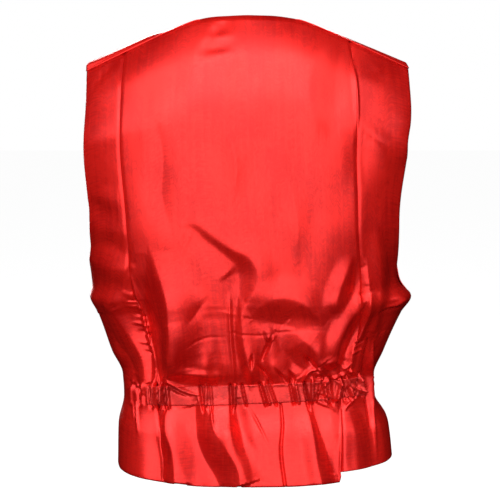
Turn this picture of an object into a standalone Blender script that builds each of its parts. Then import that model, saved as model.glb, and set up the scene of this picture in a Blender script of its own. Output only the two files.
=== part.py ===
"""A sleeveless vest of red satin, worn with no wearer in it: its back is cut in three panels and drawn in
at the waist by a casing strip, and its two plain fronts lap at the centre and button. The hollow of the
body, the neck, both armholes and the hem are open. Metres, +Z up. The front faces -Y and the wearer's left
is +X. The origin lies between the shoulders, level with the middle of the shoulder slope."""

import bmesh
import bpy
import numpy as np
from mathutils import Matrix, Vector

# Driving sizes
WALL = 0.0018          # a panel's outer cloth and lining as one wall
STRIP_WALL = 0.0014    # the casing strip
SEAM_GAP = 0.0003      # left between two pieces that are sewn together
LEFT_FALL = 0.0675     # from the nape down to the wearer's left shoulder tip
RIGHT_FALL = 0.0645    # and to the right one, which sits a little higher
NECK_HALF = 0.058      # half the width of the neck opening at the shoulder seams
NECK_ROUND = 0.022     # how softly the neckline turns into the shoulder slope
HEM_STEP = 0.012       # how much shorter the wearer's right side panel hangs than the centre panel
LAP = 0.012            # how far each front passes the centre line
LAP_EASE = 0.022       # the width over which the under front sinks below the upper one

# Mesh density
CENTRE_COLUMNS = 44
SIDE_COLUMNS = 7
FRONT_COLUMNS = 10
FRONT_UPPER_ROWS = 18
SECTION_SAMPLES = 90    # along a section, before its points are spaced evenly
SHARP_ANGLE = 50        # degrees, past which an edge is left crisp
TINY = 1e-6

# The back, from hem to nape. level is the height at the centre line, share is how much of the shoulder
# fall the row takes, left and right are the reach of its outer edges to either side, depth is how far the
# centre stands behind the side seams, cut is the edge's own depth as a share of that, square is the
# exponent of the section, seam_left and seam_right are the two shaping seams' distances from the centre.
BACK_COLUMNS = ("level", "share", "left", "right", "depth", "cut", "square", "seam_left", "seam_right")
BACK_STATIONS = {
    "hem":       (-0.524, -0.15, 0.1655, 0.1835, 0.112, 0.00, 3.0, 0.1045, 0.1130),
    "flare":     (-0.469, -0.07, 0.1635, 0.1780, 0.098, 0.00, 2.8, 0.1080, 0.1138),
    "casing":    (-0.430,  0.00, 0.1570, 0.1605, 0.080, 0.00, 2.7, 0.1118, 0.1145),
    "waist":     (-0.404,  0.00, 0.1590, 0.1590, 0.078, 0.00, 2.7, 0.1122, 0.1190),
    "small":     (-0.374,  0.00, 0.1729, 0.1708, 0.081, 0.00, 2.7, 0.1187, 0.1270),
    "ribs":      (-0.324,  0.00, 0.1900, 0.1930, 0.090, 0.00, 2.7, 0.1309, 0.1375),
    "underarm":  (-0.304,  0.00, 0.1985, 0.2050, 0.096, 0.00, 2.8, 0.1400, 0.1370),
    "notch":     (-0.287,  0.02, 0.1952, 0.1908, 0.098, 0.14, 2.8, 0.1425, 0.1368),
    "bend":      (-0.268,  0.03, 0.1955, 0.1868, 0.100, 0.28, 2.9, 0.1435, 0.1365),
    "mid":       (-0.201,  0.12, 0.1928, 0.1843, 0.106, 0.62, 3.0, 0.1456, 0.1313),
    "blade":     (-0.095,  0.40, 0.1983, 0.1924, 0.110, 0.66, 3.0, 0.1520, 0.1287),
    "yoke":      (-0.013,  0.80, 0.1976, 0.1986, 0.086, 0.55, 2.5, 0.1527, 0.1283),
    "nape":      ( 0.0425, 1.00, 0.1998, 0.1985, 0.050, 0.30, 1.3, 0.1516, 0.1250),
}

UNDERARM = list(BACK_STATIONS).index("underarm")

# The fronts above the underarm, which below it take the back's rows. depth counts forwards here, so the
# last two stations pass over the shoulder and end on the back's top edge. inner is the neckline's edge.
FRONT_COLUMNS_NAMED = ("level", "share", "reach", "depth", "cut", "square", "inner")
FRONT_STATIONS = {
    "notch":  (-0.285, 0.02, 0.1925,  0.119, 0.10, 2.7, -0.0120),
    "vee":    (-0.252, 0.05, 0.1885,  0.122, 0.25, 2.7, -0.0120),
    "chest":  (-0.180, 0.22, 0.1780,  0.120, 0.45, 2.6,  0.0160),
    "upper":  (-0.090, 0.55, 0.1700,  0.098, 0.50, 2.3,  0.0380),
    "collar": (-0.015, 0.85, 0.1780,  0.060, 0.45, 1.8,  0.0540),
    "crest":  ( 0.0432, 0.92, 0.1960, -0.012, 0.30, 1.4,  0.0610),
}
SHARE_PLACES = (0.0, 0.05, 0.8, 1.0)    # where a side's own reach gives way to the table's, and back
FRONT_DEPTHS = {"hem": 0.112, "flare": 0.108, "casing": 0.100, "waist": 0.099, "small": 0.102,
                "ribs": 0.112, "underarm": 0.117}

# The larger folds of the back, seen from behind, as (across, height) from start to end. half_start and
# half_end are half widths, rise is how far the fold stands out, or in where it is negative, and the two
# fades are the shares of its length over which it dies away.
FOLD_COLUMNS = ("start", "end", "half_start", "half_end", "rise", "fade_start", "fade_end")
FOLDS = {
    "left trough":         ((0.115, -0.264), (0.101, -0.400), 0.005, 0.018, -0.0100, 0.55, 0.12),
    "left ridge":          ((0.128, -0.290), (0.116, -0.400), 0.006, 0.010,  0.0050, 0.40, 0.15),
    "right trough":        ((-0.122, -0.255), (-0.112, -0.388), 0.005, 0.015, -0.0085, 0.50, 0.15),
    "right swell":         ((-0.146, -0.285), (-0.118, -0.375), 0.010, 0.008,  0.0060, 0.40, 0.25),
    "slanting trough":     ((0.073, -0.211), (0.008, -0.256), 0.010, 0.018, -0.0065, 0.50, 0.30),
    "turned trough":       ((-0.006, -0.246), (0.002, -0.318), 0.012, 0.012, -0.0050, 0.40, 0.40),
    "small of back swell": ((0.050, -0.275), (0.045, -0.375), 0.020, 0.026,  0.0055, 0.40, 0.40),
    "arched trough, left": ((0.000, -0.316), (-0.048, -0.312), 0.010, 0.014, -0.0065, 0.45, 0.10),
    "arched trough, right": ((-0.040, -0.312), (-0.098, -0.332), 0.013, 0.010, -0.0070, 0.15, 0.45),
    "pressed crease":      ((0.070, -0.345), (-0.074, -0.342), 0.005, 0.005, -0.0020, 0.25, 0.25),
    "double fold, left":   ((0.016, -0.305), (0.015, -0.403), 0.005, 0.006,  0.0045, 0.35, 0.10),
    "double fold, right":  ((0.003, -0.300), (0.003, -0.403), 0.005, 0.006,  0.0050, 0.35, 0.10),
    "right side hollow":   ((-0.151, -0.225), (-0.150, -0.355), 0.010, 0.008, -0.0040, 0.35, 0.30),
    "shoulder blade edge": ((-0.128, -0.075), (-0.180, -0.132), 0.006, 0.014,  0.0035, 0.30, 0.50),
    "underarm crease":     ((-0.150, -0.316), (-0.196, -0.304), 0.006, 0.006, -0.0040, 0.40, 0.10),
    "side ridge":          ((-0.149, -0.352), (-0.157, -0.490), 0.005, 0.006,  0.0045, 0.25, 0.25),
    "skirt tuck":          ((0.134, -0.425), (0.131, -0.470), 0.004, 0.005,  0.0035, 0.10, 0.50),
    "skirt left ridge":    ((0.111, -0.430), (0.101, -0.526), 0.006, 0.010,  0.0060, 0.10, 0.00),
    "skirt broad trough":  ((0.078, -0.428), (0.040, -0.526), 0.008, 0.020, -0.0070, 0.10, 0.00),
    "skirt slim ridge":    ((0.045, -0.428), (0.038, -0.468), 0.004, 0.006,  0.0035, 0.10, 0.50),
    "skirt slant ridge":   ((0.006, -0.430), (-0.018, -0.480), 0.005, 0.009,  0.0045, 0.10, 0.45),
    "skirt middle groove": ((-0.042, -0.428), (-0.045, -0.526), 0.005, 0.009, -0.0050, 0.10, 0.00),
    "skirt light ridge":   ((-0.070, -0.428), (-0.092, -0.526), 0.006, 0.011,  0.0060, 0.10, 0.00),
    "skirt flap groove":   ((-0.108, -0.420), (-0.104, -0.526), 0.005, 0.008, -0.0050, 0.10, 0.00),
    "skirt right ridge":   ((-0.124, -0.415), (-0.134, -0.526), 0.006, 0.012,  0.0050, 0.10, 0.00),
}

FOLD_EDGE = 0.012       # the distance over which folds die away at the side seams
DOWN_THE_BACK = (0.0, 0.80, -0.60)   # the way the cloth leaves the shoulder seam behind

# The gathers that the drawn-in waist sets across the casing, by their distance from the centre line
GATHERS = (0.118, 0.109, 0.100, 0.090, 0.056, 0.045, 0.022, 0.004, -0.018, -0.029,
           -0.052, -0.068, -0.083, -0.098, -0.112, -0.126, -0.139)
GATHER_HALF = 0.0055
GATHER_RISE = 0.0024
GATHER_TOP = -0.385
GATHER_FOOT = -0.452

CASING_TOP = -0.404
CASING_FOOT = -0.430
CASING_LEFT = 0.124
CASING_RIGHT = -0.146

BUTTON_RADIUS = 0.0085
BUTTON_DEPTH = 0.0032
BUTTON_EDGE = 0.0007
BUTTON_SIDES = 24         # facets round a button
BUTTON_SEAT = 0.0007    # clear of the hollow that the waist makes below the disc
BUTTON_LEVELS = (-0.492, -0.435, -0.378, -0.321, -0.264)

RED_SATIN = (0.62, 0.020, 0.022, 1.0)
RED_STRIP = (0.58, 0.035, 0.035, 1.0)
BUTTON_RED = (0.42, 0.012, 0.015, 1.0)


def monotone(knots, values, at):
    """A smooth curve through the values that never swings past them."""
    knots = np.asarray(knots, float)
    values = np.asarray(values, float)
    at = np.clip(np.asarray(at, float), knots[0], knots[-1])
    step = np.diff(knots)
    slope = np.diff(values) / step
    tangent = np.zeros(len(knots))
    tangent[0], tangent[-1] = slope[0], slope[-1]
    for i in range(1, len(knots) - 1):
        if slope[i - 1] * slope[i] > 0:
            tangent[i] = 2.0 / (1.0 / slope[i - 1] + 1.0 / slope[i])
    i = np.clip(np.searchsorted(knots, at, side="right") - 1, 0, len(step) - 1)
    t = (at - knots[i]) / step[i]
    return ((1 + 2 * t) * (1 - t) ** 2 * values[i] + t * (1 - t) ** 2 * step[i] * tangent[i]
            + t * t * (3 - 2 * t) * values[i + 1] + t * t * (t - 1) * step[i] * tangent[i + 1])


def smooth_step(low, high, value):
    t = np.clip((value - low) / (high - low), 0.0, 1.0)
    return t * t * (3.0 - 2.0 * t)


def unit(vectors):
    return vectors / np.maximum(np.linalg.norm(vectors, axis=-1, keepdims=True), 1e-12)


def column(name):
    return [row[BACK_COLUMNS.index(name)] for row in BACK_STATIONS.values()]


def back_size(name, level):
    """One column of the back's table, read at a height."""
    return monotone(column("level"), column(name), level)


def shoulder_fall(across):
    """How far the top edge has dropped below the nape at a distance from the centre line."""
    past = np.abs(across) - NECK_HALF
    bend = 0.5 * (past + np.sqrt(past ** 2 + NECK_ROUND ** 2))
    at_tip = column("left")[-1] - NECK_HALF
    fall = np.where(np.asarray(across) >= 0, LEFT_FALL, RIGHT_FALL)
    return fall * bend / (0.5 * (at_tip + np.sqrt(at_tip ** 2 + NECK_ROUND ** 2)))


def section(across, half, depth, square):
    """How far the section stands from the side seams' plane at a distance from the centre line."""
    inside = np.clip(1.0 - np.abs(across / half) ** square, 0.0, 1.0)
    return depth * inside ** (1.0 / square)


def half_width(reach, cut, square):
    """The section's half width, for an edge that stops at its reach with cut of the depth left."""
    return reach / (1.0 - cut ** square) ** (1.0 / square)


def back_point(across, level):
    """The back's smooth surface, without its folds."""
    square = back_size("square", level)
    reach = np.where(np.asarray(across) >= 0, back_size("left", level), back_size("right", level))
    half = half_width(reach, back_size("cut", level), square)
    depth = section(across, half, back_size("depth", level), square)
    height = level - back_size("share", level) * shoulder_fall(across)
    return np.stack(np.broadcast_arrays(across, depth, height), axis=-1)


def front_row(place):
    """The sizes of one row of the fronts; place runs from 0 at the underarm to 1 at the shoulder seam."""
    nape = {name: column(name)[-1] for name in BACK_COLUMNS}
    start = {name: column(name)[UNDERARM] for name in BACK_COLUMNS}
    seam_row = (nape["level"], nape["share"], nape["left"], -nape["depth"], nape["cut"], nape["square"],
                NECK_HALF)
    first_row = (start["level"], 0.0, start["left"], FRONT_DEPTHS["underarm"], 0.0, start["square"], -LAP)
    rows = np.array([first_row, *FRONT_STATIONS.values(), seam_row])
    travel = np.hypot(np.diff(rows[:, 0]), np.diff(rows[:, 3]))
    knots = np.concatenate([[0.0], np.cumsum(travel)])
    return {name: monotone(knots / knots[-1], rows[:, i], place)
            for i, name in enumerate(FRONT_COLUMNS_NAMED)}


def even_points(points, count):
    """The same line with count + 1 evenly spaced points."""
    travel = np.concatenate([[0.0], np.cumsum(np.linalg.norm(np.diff(points, axis=0), axis=1))])
    at = np.linspace(0.0, travel[-1], count + 1)
    return np.stack([np.interp(at, travel, points[:, k]) for k in range(3)], axis=-1)


def edge_crowded(start, end, count):
    """Values from start to end that crowd towards the end, where the section turns away."""
    return start + (end - start) * np.sin(np.linspace(0.0, np.pi / 2, count))


def fold_height(across, height):
    """How far the folds lift the back's cloth at each place, seen from behind."""
    lift = np.zeros_like(across)
    for row in FOLDS.values():
        fold = dict(zip(FOLD_COLUMNS, row))
        start, end = np.array(fold["start"]), np.array(fold["end"])
        run = end - start
        length = np.linalg.norm(run)
        along = ((across - start[0]) * run[0] + (height - start[1]) * run[1]) / length ** 2
        aside = ((across - start[0]) * run[1] - (height - start[1]) * run[0]) / length
        half = fold["half_start"] + (fold["half_end"] - fold["half_start"]) * np.clip(along, 0, 1)
        shape = np.clip(1.0 - (aside / half) ** 2, 0.0, 1.0) ** 2
        if fold["fade_start"]:
            shape = shape * smooth_step(0.0, fold["fade_start"], along)
        if fold["fade_end"]:
            shape = shape * smooth_step(0.0, fold["fade_end"], 1.0 - along)
        lift = lift + fold["rise"] * shape
    band = smooth_step(GATHER_FOOT, CASING_FOOT, height) * (1 - smooth_step(CASING_TOP, GATHER_TOP, height))
    for place in GATHERS:
        shape = np.clip(1.0 - ((across - place) / GATHER_HALF) ** 2, 0.0, 1.0) ** 2
        lift = lift + GATHER_RISE * shape * band
    return lift


def grid_normals(points, flip):
    """Each point's outward direction, from its neighbours in the grid."""
    up = np.gradient(points, axis=0)
    along = np.gradient(points, axis=1)
    return unit(np.cross(along, up)) * flip


def shoulder_normals(points):
    """The direction shared by both sides of the shoulder seam, so that their edges stay parallel."""
    along = np.gradient(points, axis=0)
    normal = unit(np.cross(along, np.array(DOWN_THE_BACK)))
    return normal * np.sign(normal[:, 2:3])


def back_levels():
    """The heights of the grid's rows, closer together about the waist and in the skirt."""
    spans = (("hem", "casing", 9), ("casing", "waist", 3), ("waist", "underarm", 10),
             ("underarm", "nape", 16))
    level = {name: row[0] for name, row in BACK_STATIONS.items()}
    rows = [np.linspace(level[a], level[b], n + 1)[:-1] for a, b, n in spans]
    return np.concatenate(rows + [[level["nape"]]])


def back_grid():
    """The back's outer points, row by row, from the wearer's left edge to the right one."""
    rows = []
    for level in back_levels():
        seam_left, seam_right = back_size("seam_left", level), -back_size("seam_right", level)
        left, right = back_size("left", level), -back_size("right", level)
        side = back_point(edge_crowded(seam_left, left, SECTION_SAMPLES), level)
        centre = back_point(np.linspace(seam_left, seam_right, CENTRE_COLUMNS + 1), level)
        far_side = back_point(edge_crowded(seam_right, right, SECTION_SAMPLES), level)
        rows.append(np.concatenate([even_points(side, SIDE_COLUMNS)[::-1], centre[1:-1],
                                    even_points(far_side, SIDE_COLUMNS)]))
    smooth = np.array(rows)
    lift = fold_height(smooth[..., 0], smooth[..., 2])
    edge_fade = smooth_step(0.0, FOLD_EDGE, np.abs(smooth[..., 1]))
    below_arm = smooth[..., 2] < column("level")[UNDERARM] + FOLD_EDGE
    lift = np.where(below_arm, lift * edge_fade, lift)
    return smooth + grid_normals(smooth, 1.0) * lift[..., None]


def front_grid(side):
    """One front's outer points, row by row, from its outer edge to its centre edge or neckline."""
    reach_name = "left" if side > 0 else "right"
    below = column("level")[:UNDERARM + 1]
    depths = [FRONT_DEPTHS[name] for name in list(BACK_STATIONS)[:UNDERARM + 1]]
    rows = []
    for level in back_levels():
        if level > below[-1] + TINY:
            break
        reach, square = back_size(reach_name, level), back_size("square", level)
        depth = monotone(below, depths, level)
        across = -edge_crowded(LAP, -reach, SECTION_SAMPLES)[::-1]
        height = level - back_size("share", level) * shoulder_fall(side * across)
        line = np.stack([side * across, -section(across, reach, depth, square), height], axis=-1)
        rows.append(even_points(line, FRONT_COLUMNS))
    shares = (reach_share(reach_name, UNDERARM), 1.0, 1.0, reach_share(reach_name, -1))
    for place in np.linspace(0.0, 1.0, FRONT_UPPER_ROWS + 1)[1:]:
        size = front_row(place)
        reach = size["reach"] * monotone(SHARE_PLACES, shares, place)
        half = half_width(reach, size["cut"], size["square"])
        across = -edge_crowded(-size["inner"], -reach, SECTION_SAMPLES)[::-1]
        height = size["level"] - size["share"] * shoulder_fall(side * across)
        depth = -section(across, half, size["depth"], size["square"])
        line = np.stack([side * across, depth, height], axis=-1)
        rows.append(even_points(line, FRONT_COLUMNS))
    return np.array(rows)


def reach_share(name, station):
    """How much further one side reaches than the left one, at a station of the back."""
    return column(name)[station] / column("left")[station]


def closed_wall(name, outer, inner, outward_flip):
    """A closed solid between two grids of the same size."""
    rows, columns = outer.shape[:2]
    mesh = bmesh.new()
    skins = [[[mesh.verts.new(p) for p in row] for row in skin] for skin in (outer, inner)]

    def strip(a, b, c, d):
        corners = (a, b, c, d) if outward_flip else (d, c, b, a)
        mesh.faces.new((corners[0], corners[1], corners[2]))
        mesh.faces.new((corners[0], corners[2], corners[3]))

    front, back = skins
    for r in range(rows - 1):
        for c in range(columns - 1):
            strip(front[r][c], front[r + 1][c], front[r + 1][c + 1], front[r][c + 1])
            strip(back[r][c], back[r][c + 1], back[r + 1][c + 1], back[r + 1][c])
        strip(back[r][0], back[r + 1][0], front[r + 1][0], front[r][0])
        strip(front[r][-1], front[r + 1][-1], back[r + 1][-1], back[r][-1])
    for c in range(columns - 1):
        strip(back[0][c], front[0][c], front[0][c + 1], back[0][c + 1])
        strip(front[-1][c], back[-1][c], back[-1][c + 1], front[-1][c + 1])
    data = bpy.data.meshes.new(name)
    mesh.to_mesh(data)
    mesh.free()
    data.shade_smooth()
    data.set_sharp_from_angle(angle=np.radians(SHARP_ANGLE))
    return bpy.data.objects.new(name, data)


def narrowed(points, first, last):
    """The grid's outer columns moved in by half a seam gap, where they are sewn to a neighbour."""
    points = points.copy()
    if first:
        points[:, 0] += unit(points[:, 1] - points[:, 0]) * SEAM_GAP / 2
    if last:
        points[:, -1] += unit(points[:, -2] - points[:, -1]) * SEAM_GAP / 2
    return points


def lowered_top(points):
    """The grid's last row moved back down by half a seam gap, off the shoulder seam."""
    points = points.copy()
    points[-1] += unit(points[-2] - points[-1]) * SEAM_GAP / 2
    return points


def hem_raised(points, rise):
    """The grid drawn up its own surface at the hem by one height a column, fading out at the casing."""
    levels = back_levels()
    casing = int(np.argmin(np.abs(levels - CASING_FOOT)))
    rows, columns = points.shape[:2]
    places = np.repeat(np.arange(rows, dtype=float)[:, None], columns, axis=1)
    places[:casing] += rise / (levels[1] - levels[0]) * (1.0 - places[:casing] / casing)
    below = np.clip(places.astype(int), 0, rows - 2)
    part = (places - below)[..., None]
    across = np.arange(columns)[None, :]
    return points[below, across] * (1.0 - part) + points[below + 1, across] * part


def satin(name, colour, roughness):
    material = bpy.data.materials.new(name)
    material.use_nodes = True
    shader = material.node_tree.nodes["Principled BSDF"]
    shader.inputs["Base Color"].default_value = colour
    shader.inputs["Roughness"].default_value = roughness
    shader.inputs["Metallic"].default_value = 0.0
    return material


def add_piece(collection, piece, material):
    piece.data.materials.append(material)
    collection.objects.link(piece)


def build_back(collection, outer, normals, material):
    """The centre panel and the two side panels, cut from one surface along the shaping seams."""
    first, second = SIDE_COLUMNS, SIDE_COLUMNS + CENTRE_COLUMNS
    cuts = {"back_side_left": (0, first), "back_centre": (first, second), "back_side_right": (second, None)}
    for name, (start, stop) in cuts.items():
        part = slice(start, None if stop is None else stop + 1)
        skin = lowered_top(narrowed(outer[:, part], True, True))
        lining = lowered_top(narrowed((outer - WALL * normals)[:, part], True, True))
        if name == "back_side_right":
            rise = np.full(skin.shape[1], HEM_STEP)
            skin, lining = hem_raised(skin, rise), hem_raised(lining, rise)
        add_piece(collection, closed_wall(name, skin, lining, False), material)


def build_front(collection, name, outer, normals, under, material):
    """One front; the under one sinks below the other where they lap."""
    if under:
        sink = smooth_step(-LAP - LAP_EASE, -LAP, outer[..., 0]) * (WALL + 2 * SEAM_GAP)
        outer = outer - normals * sink[..., None]
    skin = lowered_top(narrowed(outer, True, False))
    lining = lowered_top(narrowed(outer - WALL * normals, True, False))
    if under:
        rise = HEM_STEP * np.linspace(1.0, 0.0, skin.shape[1])
        skin, lining = hem_raised(skin, rise), hem_raised(lining, rise)
    add_piece(collection, closed_wall(name, skin, lining, not under), material)


def build_casing(collection, outer, normals, material):
    """The strip that holds the drawn waist, made from the back's own points moved out."""
    levels = back_levels()
    rows = np.flatnonzero((levels > CASING_FOOT - TINY) & (levels < CASING_TOP + TINY))
    middle = outer[rows[len(rows) // 2]]
    columns = np.flatnonzero((middle[:, 0] < CASING_LEFT) & (middle[:, 0] > CASING_RIGHT))
    base = outer[rows[0]:rows[-1] + 1, columns[0]:columns[-1] + 1]
    away = normals[rows[0]:rows[-1] + 1, columns[0]:columns[-1] + 1]
    inner = base + away * SEAM_GAP
    piece = closed_wall("waist_casing", inner + away * STRIP_WALL, inner, False)
    add_piece(collection, piece, material)


def build_buttons(collection, outer, normals, material):
    """Plain round buttons on the upper front, each square to the cloth below it."""
    centre = np.array([[np.interp(0.0, row[::-1, 0], row[::-1, k]) for k in range(3)] for row in outer])
    for number, level in enumerate(BUTTON_LEVELS, start=1):
        row = int(np.argmin(np.abs(centre[:, 2] - level)))
        nearest = int(np.argmin(np.abs(outer[row, :, 0])))
        away = Vector(normals[row, nearest])
        cloth = Vector((0.0, np.interp(level, centre[:, 2], centre[:, 1]), level))
        seat = cloth + away * (BUTTON_SEAT + BUTTON_DEPTH / 2)
        disc = bmesh.new()
        bmesh.ops.create_cone(disc, cap_ends=True, segments=BUTTON_SIDES, radius1=BUTTON_RADIUS,
                              radius2=BUTTON_RADIUS, depth=BUTTON_DEPTH)
        data = bpy.data.meshes.new(f"button_{number}")
        disc.to_mesh(data)
        disc.free()
        button = bpy.data.objects.new(f"button_{number}", data)
        button.matrix_world = Matrix.Translation(seat) @ away.to_track_quat("Z", "Y").to_matrix().to_4x4()
        bevel = button.modifiers.new("Rim", "BEVEL")
        bevel.width = BUTTON_EDGE
        bevel.segments = 1
        bevel.limit_method = "ANGLE"
        add_piece(collection, button, material)


def main():
    for old in list(bpy.data.objects):
        bpy.data.objects.remove(old)
    collection = bpy.data.collections.new("vest")
    bpy.context.scene.collection.children.link(collection)
    cloth = satin("red satin", RED_SATIN, 0.42)
    strip = satin("red casing strip", RED_STRIP, 0.62)
    gloss = satin("red button", BUTTON_RED, 0.35)

    back = back_grid()
    fronts = {"left": front_grid(1.0), "right": front_grid(-1.0)}
    back_away = grid_normals(back, 1.0)
    front_away = {"left": grid_normals(fronts["left"], -1.0), "right": grid_normals(fronts["right"], 1.0)}

    below_arm = int(np.sum(back_levels() <= column("level")[UNDERARM] + TINY))
    for side, edge in (("left", 0), ("right", -1)):
        shared = unit(back_away[:below_arm, edge] + front_away[side][:below_arm, 0])
        back_away[:below_arm, edge] = shared
        front_away[side][:below_arm, 0] = shared
        front_away[side][-1] = shoulder_normals(fronts[side][-1])
    back_away[-1] = shoulder_normals(back[-1])

    build_back(collection, back, back_away, cloth)
    build_casing(collection, back, back_away, strip)
    build_front(collection, "front_left", fronts["left"], front_away["left"], False, cloth)
    build_front(collection, "front_right", fronts["right"], front_away["right"], True, cloth)
    build_buttons(collection, fronts["left"], front_away["left"], gloss)


main()
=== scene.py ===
import math

import bmesh
import bpy
import numpy as np
from mathutils import Matrix, Vector


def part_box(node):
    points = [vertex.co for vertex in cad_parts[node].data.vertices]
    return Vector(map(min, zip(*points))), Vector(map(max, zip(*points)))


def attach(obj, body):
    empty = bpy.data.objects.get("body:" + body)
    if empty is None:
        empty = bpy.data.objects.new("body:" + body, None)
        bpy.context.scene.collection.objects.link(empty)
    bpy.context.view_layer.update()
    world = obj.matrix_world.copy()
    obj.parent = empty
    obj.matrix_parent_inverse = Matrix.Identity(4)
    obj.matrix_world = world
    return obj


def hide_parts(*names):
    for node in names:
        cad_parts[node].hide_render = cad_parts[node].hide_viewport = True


bl_info = {
    "name": "Red satin vest",
    "version": (1, 0, 0),
    "blender": (4, 5, 0),
    "location": "3D View > Sidebar > Vest",
    "description": "Dresses the cut panels of a worn satin vest with creased cloth, casing and buttons",
    "category": "Object",
}

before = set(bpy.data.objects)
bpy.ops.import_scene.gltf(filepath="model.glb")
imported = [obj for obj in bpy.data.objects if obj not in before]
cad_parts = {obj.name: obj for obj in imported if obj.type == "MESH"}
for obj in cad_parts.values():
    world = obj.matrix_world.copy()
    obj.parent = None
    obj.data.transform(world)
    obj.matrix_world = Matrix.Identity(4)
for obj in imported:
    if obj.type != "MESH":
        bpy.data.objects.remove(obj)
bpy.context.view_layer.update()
MM = 0.001               # the crease tables' millimetres in metres

# Sizes of the worn form, in metres

LEFT_FALL = 0.0675
RIGHT_FALL = 0.0645
NECK_HALF = 0.058
NECK_ROUND = 0.022
LAP = 0.012
LAP_EASE = 0.022
LAP_GAP = 0.0006
LAP_WALL = 0.0018        # what the under front sinks for the upper one's thickness
EDGE_FADE = 0.012        # how far from the side seams the creases fade in
HEM_STEP = 0.012

# The back's rows, from hem to nape. level is the height at the centre line, share is how much of the
# shoulder fall the row takes, left and right are the reach of its edges, depth is how far the centre stands
# behind the side seams, cut is the edge's own depth as a share of that, square is the section's exponent,
# and seam_left and seam_right are the distances of the two shaping seams from the centre line.
BACK_COLUMNS = ("level", "share", "left", "right", "depth", "cut", "square", "seam_left", "seam_right")
BACK_STATIONS = {
    "hem":       (-0.524, -0.15, 0.1655, 0.1835, 0.112, 0.00, 3.0, 0.1045, 0.1130),
    "flare":     (-0.469, -0.07, 0.1635, 0.1780, 0.098, 0.00, 2.8, 0.1080, 0.1138),
    "casing":    (-0.430,  0.00, 0.1570, 0.1605, 0.080, 0.00, 2.7, 0.1118, 0.1145),
    "waist":     (-0.404,  0.00, 0.1590, 0.1590, 0.078, 0.00, 2.7, 0.1122, 0.1190),
    "small":     (-0.374,  0.00, 0.1729, 0.1708, 0.081, 0.00, 2.7, 0.1187, 0.1270),
    "ribs":      (-0.324,  0.00, 0.1900, 0.1930, 0.090, 0.00, 2.7, 0.1309, 0.1375),
    "underarm":  (-0.304,  0.00, 0.1985, 0.2050, 0.096, 0.00, 2.8, 0.1400, 0.1370),
    "notch":     (-0.287,  0.02, 0.1952, 0.1908, 0.098, 0.14, 2.8, 0.1425, 0.1368),
    "bend":      (-0.268,  0.03, 0.1955, 0.1868, 0.100, 0.28, 2.9, 0.1435, 0.1365),
    "mid":       (-0.201,  0.12, 0.1928, 0.1843, 0.106, 0.62, 3.0, 0.1456, 0.1313),
    "blade":     (-0.095,  0.40, 0.1983, 0.1924, 0.110, 0.66, 3.0, 0.1520, 0.1287),
    "yoke":      (-0.013,  0.80, 0.1976, 0.1986, 0.086, 0.55, 2.5, 0.1527, 0.1283),
    "nape":      ( 0.0425, 1.00, 0.1998, 0.1985, 0.050, 0.30, 1.3, 0.1516, 0.1250),
}
UNDERARM = list(BACK_STATIONS).index("underarm")

# The fronts above the underarm; depth counts forwards, inner is the neckline's distance from the centre.
FRONT_COLUMNS = ("level", "share", "reach", "depth", "cut", "square", "inner")
FRONT_STATIONS = {
    "notch":  (-0.285, 0.02, 0.1925,  0.119, 0.10, 2.7, -0.0120),
    "vee":    (-0.252, 0.05, 0.1885,  0.122, 0.25, 2.7, -0.0120),
    "chest":  (-0.180, 0.22, 0.1780,  0.120, 0.45, 2.6,  0.0160),
    "upper":  (-0.090, 0.55, 0.1700,  0.098, 0.50, 2.3,  0.0380),
    "collar": (-0.015, 0.85, 0.1780,  0.060, 0.45, 1.8,  0.0540),
    "crest":  ( 0.0432, 0.92, 0.1960, -0.012, 0.30, 1.4,  0.0610),
}
SHARE_PLACES = (0.0, 0.05, 0.8, 1.0)
FRONT_DEPTHS = {"hem": 0.112, "flare": 0.108, "casing": 0.100, "waist": 0.099, "small": 0.102,
                "ribs": 0.112, "underarm": 0.117}

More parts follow.
